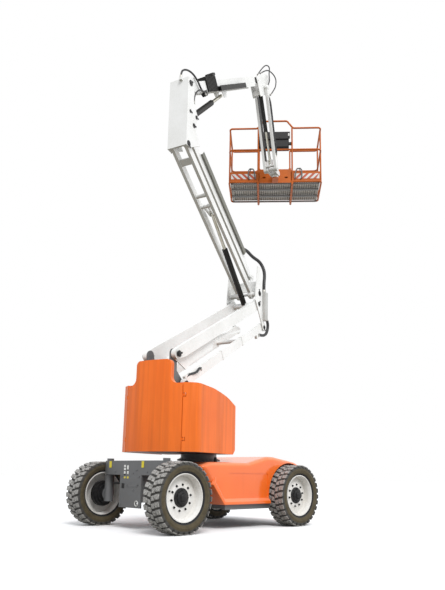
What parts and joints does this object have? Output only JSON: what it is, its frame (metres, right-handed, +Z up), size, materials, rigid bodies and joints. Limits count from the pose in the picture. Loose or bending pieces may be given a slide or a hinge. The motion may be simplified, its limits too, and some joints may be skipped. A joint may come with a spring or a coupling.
{
  "type": "articulating boom lift",
  "caption": "Four-wheel self-propelled articulating boom lift: slewing turntable, two hinged risers, telescopic boom, jib and a railed work platform.",
  "frame": {"origin": "on the ground under the turntable's slewing axis", "axes": "+X from the steered axle to the fixed axle, +Y to the left, +Z up; the upper works stand turned 15.98 degrees about +Z from +X"},
  "size_m": [5.3763, 3.0716, 8.2649],
  "materials": {
    "grey_frame": "satin",
    "orange_cover": "satin",
    "orange_steel": "satin",
    "dark_grey": "satin",
    "iron": "painted",
    "white_arm": "satin",
    "black_steel": "satin",
    "rod_steel": "ground",
    "black_plastic": "matt",
    "mesh_steel": "satin",
    "hose_rubber": "matt",
    "hoop_steel": "satin",
    "tread": "matt",
    "rim_white": "satin"
  },
  "bodies": {
    "chassis": {"chassis_frame": "grey_frame", "chassis_cover": "orange_cover", "steer_axle": "grey_frame", "drive_axle": "grey_frame", "slew_pedestal": "grey_frame"},
    "knuckle_left": {"steer_knuckle_left": "grey_frame"},
    "knuckle_right": {"steer_knuckle_right": "grey_frame"},
    "wheel_steer_left": {"tyre_steer_left": "tread", "rim_steer_left": "rim_white"},
    "wheel_steer_right": {"tyre_steer_right": "tread", "rim_steer_right": "rim_white"},
    "wheel_drive_left": {"tyre_drive_left": "tread", "rim_drive_left": "rim_white"},
    "wheel_drive_right": {"tyre_drive_right": "tread", "rim_drive_right": "rim_white"},
    "turntable": {"turntable_base": "dark_grey", "hood_rear": "orange_cover", "counterweight": "iron", "power_pack": "dark_grey", "hydraulic_tank": "dark_grey"},
    "door_left": {"hood_left": "orange_cover"},
    "door_right": {"hood_right": "orange_cover"},
    "lower_riser": {"lower_arm": "white_arm"},
    "lower_tie": {"lower_link": "white_arm"},
    "mid": {"mid_bracket": "white_arm", "mid_hose_channel": "black_steel", "hose_mid_top": "hose_rubber", "hose_mid_low": "hose_rubber"},
    "upper_riser": {"upper_arm": "white_arm"},
    "upper_tie": {"upper_link": "white_arm", "hose_tray": "black_steel"},
    "head": {"head_bracket": "white_arm", "hose_head": "hose_rubber"},
    "riser_tube": {"riser_barrel": "black_steel"},
    "riser_piston": {"riser_rod": "rod_steel"},
    "boom": {"boom_base": "white_arm", "boom_collar": "white_arm", "carrier_tray": "black_steel", "carrier_chain": "black_plastic", "hose_block": "black_plastic"},
    "lift_tube": {"lift_barrel": "black_steel"},
    "lift_piston": {"lift_rod": "rod_steel"},
    "boom_extension": {"boom_inner": "black_steel"},
    "boom_tip": {"tip_bracket": "white_arm"},
    "jib": {"jib_arm": "white_arm"},
    "jib_foot": {"jib_bracket": "white_arm"},
    "jib_tube": {"jib_barrel": "black_steel"},
    "jib_piston": {"jib_rod": "rod_steel"},
    "platform": {"platform_mount": "orange_steel", "platform_frame": "orange_steel", "platform_floor": "mesh_steel", "toe_boards": "orange_steel", "platform_console": "black_plastic", "step_hoops": "hoop_steel"},
    "gate": {"gate_bar": "black_steel"}
  },
  "joints": [
    {"name": "steer_left", "type": "hinge", "parent": "chassis", "child": "knuckle_left", "pos_m": [-1.058, 0.582, 0.415], "axis": [0, 0, 1], "range_deg": [-32, 32]},
    {"name": "steer_right", "type": "hinge", "parent": "chassis", "child": "knuckle_right", "pos_m": [-1.058, -0.582, 0.415], "axis": [0, 0, 1], "range_deg": [-32, 32]},
    {"name": "wheel_spin_steer_left", "type": "hinge", "parent": "knuckle_left", "child": "wheel_steer_left", "pos_m": [-1.058, 0.82, 0.415], "axis": [0, 1, 0], "continuous": true},
    {"name": "wheel_spin_steer_right", "type": "hinge", "parent": "knuckle_right", "child": "wheel_steer_right", "pos_m": [-1.058, -0.82, 0.415], "axis": [0, 1, 0], "continuous": true},
    {"name": "wheel_spin_drive_left", "type": "hinge", "parent": "chassis", "child": "wheel_drive_left", "pos_m": [1.077, 0.82, 0.415], "axis": [0, 1, 0], "continuous": true},
    {"name": "wheel_spin_drive_right", "type": "hinge", "parent": "chassis", "child": "wheel_drive_right", "pos_m": [1.077, -0.82, 0.415], "axis": [0, 1, 0], "continuous": true},
    {"name": "slew", "type": "hinge", "parent": "chassis", "child": "turntable", "pos_m": [0, 0, 0.95], "axis": [0, 0, 1], "range_deg": [-193.5, 161.5]},
    {"name": "door_left", "type": "hinge", "parent": "turntable", "child": "door_left", "pos_m": [-1.16854, 0.12305, 1.35], "axis": [0, 0, 1], "range_deg": [0, 75]},
    {"name": "door_right", "type": "hinge", "parent": "turntable", "child": "door_right", "pos_m": [-0.92627, -0.72294, 1.35], "axis": [0, 0, -1], "range_deg": [0, 75]},
    {"name": "lower_lift", "type": "hinge", "parent": "turntable", "child": "lower_riser", "pos_m": [-0.95174, -0.27255, 2.185], "axis": [0.2753, -0.9614, 0], "range_deg": [-41.5, 33.5]},
    {"name": "lower_tie_pin", "type": "hinge", "parent": "turntable", "child": "lower_tie", "pos_m": [-0.75947, -0.21749, 1.83], "axis": [0.2753, -0.9614, 0], "range_deg": [-41.5, 33.5]},
    {"name": "mid_level", "type": "hinge", "parent": "lower_riser", "child": "mid", "pos_m": [1.29783, 0.37166, 3.455], "axis": [0.2753, -0.9614, 0], "range_deg": [-33.5, 41.5], "deforming": ["hose_mid_low"]},
    {"name": "upper_lift", "type": "hinge", "parent": "mid", "child": "upper_riser", "pos_m": [1.30937, 0.37496, 3.64], "axis": [-0.2753, 0.9614, 0], "range_deg": [-50.7, 27.3], "deforming": ["hose_mid_top"]},
    {"name": "upper_tie_pin", "type": "hinge", "parent": "mid", "child": "upper_tie", "pos_m": [1.42954, 0.40937, 3.99], "axis": [-0.2753, 0.9614, 0], "range_deg": [-50.7, 27.3]},
    {"name": "head_level", "type": "hinge", "parent": "upper_riser", "child": "head", "pos_m": [-0.74217, -0.21253, 5.29], "axis": [-0.2753, 0.9614, 0], "range_deg": [-27.3, 50.7]},
    {"name": "riser_tube_pin", "type": "hinge", "parent": "mid", "child": "riser_tube", "pos_m": [1.29783, 0.37166, 3.455], "axis": [-0.2753, 0.9614, 0], "range_deg": [-47.92, 25.81]},
    {"name": "riser_piston_slide", "type": "slide", "parent": "riser_tube", "child": "riser_piston", "axis": [-0.6652, -0.1905, 0.7219], "range_m": [-0.13161, 0.07091]},
    {"name": "boom_lift", "type": "hinge", "parent": "head", "child": "boom", "pos_m": [-0.7364, -0.21088, 6.263], "axis": [0.2753, -0.9614, 0], "range_deg": [-27, 40], "deforming": ["hose_head"]},
    {"name": "lift_tube_pin", "type": "hinge", "parent": "head", "child": "lift_tube", "pos_m": [-0.56432, -0.1616, 5.806], "axis": [0.2753, -0.9614, 0], "range_deg": [-22.55, 33.41]},
    {"name": "lift_piston_slide", "type": "slide", "parent": "lift_tube", "child": "lift_piston", "axis": [0.6689, 0.1916, 0.7182], "range_m": [-0.19622, 0.29065]},
    {"name": "telescope", "type": "slide", "parent": "boom", "child": "boom_extension", "axis": [0.7875, 0.2255, 0.5736], "range_m": [0, 1.3]},
    {"name": "tip_level", "type": "hinge", "parent": "boom_extension", "child": "boom_tip", "pos_m": [1.59192, 0.45587, 7.91245], "axis": [0.2753, -0.9614, 0], "range_deg": [-40, 27]},
    {"name": "jib_lift", "type": "hinge", "parent": "boom_tip", "child": "jib", "pos_m": [1.87465, 0.53684, 7.915], "axis": [-0.2753, 0.9614, 0], "range_deg": [-142.8, 2.2]},
    {"name": "jib_level", "type": "hinge", "parent": "jib", "child": "jib_foot", "pos_m": [2.30726, 0.66072, 6.46], "axis": [-0.2753, 0.9614, 0], "range_deg": [-2.2, 142.8]},
    {"name": "jib_tube_pin", "type": "hinge", "parent": "boom_tip", "child": "jib_tube", "pos_m": [1.82658, 0.52307, 7.8], "axis": [-0.2753, 0.9614, 0], "range_deg": [-140.67, 2.18]},
    {"name": "jib_piston_slide", "type": "slide", "parent": "jib_tube", "child": "jib_piston", "axis": [0.3415, 0.0978, -0.9348], "range_m": [-0.00397, 0.25128]},
    {"name": "platform_swing", "type": "hinge", "parent": "jib_foot", "child": "platform", "pos_m": [2.49472, 0.71441, 6.46], "axis": [0, 0, 1], "range_deg": [-114.94, 65.06]},
    {"name": "gate_rise", "type": "slide", "parent": "platform", "child": "gate", "axis": [0, 0, 1], "range_m": [0, 0.37]}
  ],
  "couplings": [
    {"joint": "steer_right", "follows": "steer_left", "ratio": 1},
    {"joint": "lower_tie_pin", "follows": "lower_lift", "ratio": 1},
    {"joint": "mid_level", "follows": "lower_lift", "ratio": -1},
    {"joint": "upper_tie_pin", "follows": "upper_lift", "ratio": 1},
    {"joint": "head_level", "follows": "upper_lift", "ratio": -1},
    {"joint": "riser_tube_pin", "follows": "upper_lift", "ratio": 0.945},
    {"joint": "riser_piston_slide", "follows": "upper_lift", "m_per_rad": 0.14862},
    {"joint": "lift_tube_pin", "follows": "boom_lift", "ratio": 0.835},
    {"joint": "lift_piston_slide", "follows": "boom_lift", "m_per_rad": 0.41618},
    {"joint": "tip_level", "follows": "boom_lift", "ratio": -1},
    {"joint": "jib_level", "follows": "jib_lift", "ratio": -1},
    {"joint": "jib_tube_pin", "follows": "jib_lift", "ratio": 0.985},
    {"joint": "jib_piston_slide", "follows": "jib_lift", "m_per_rad": -0.10078}
  ]
}
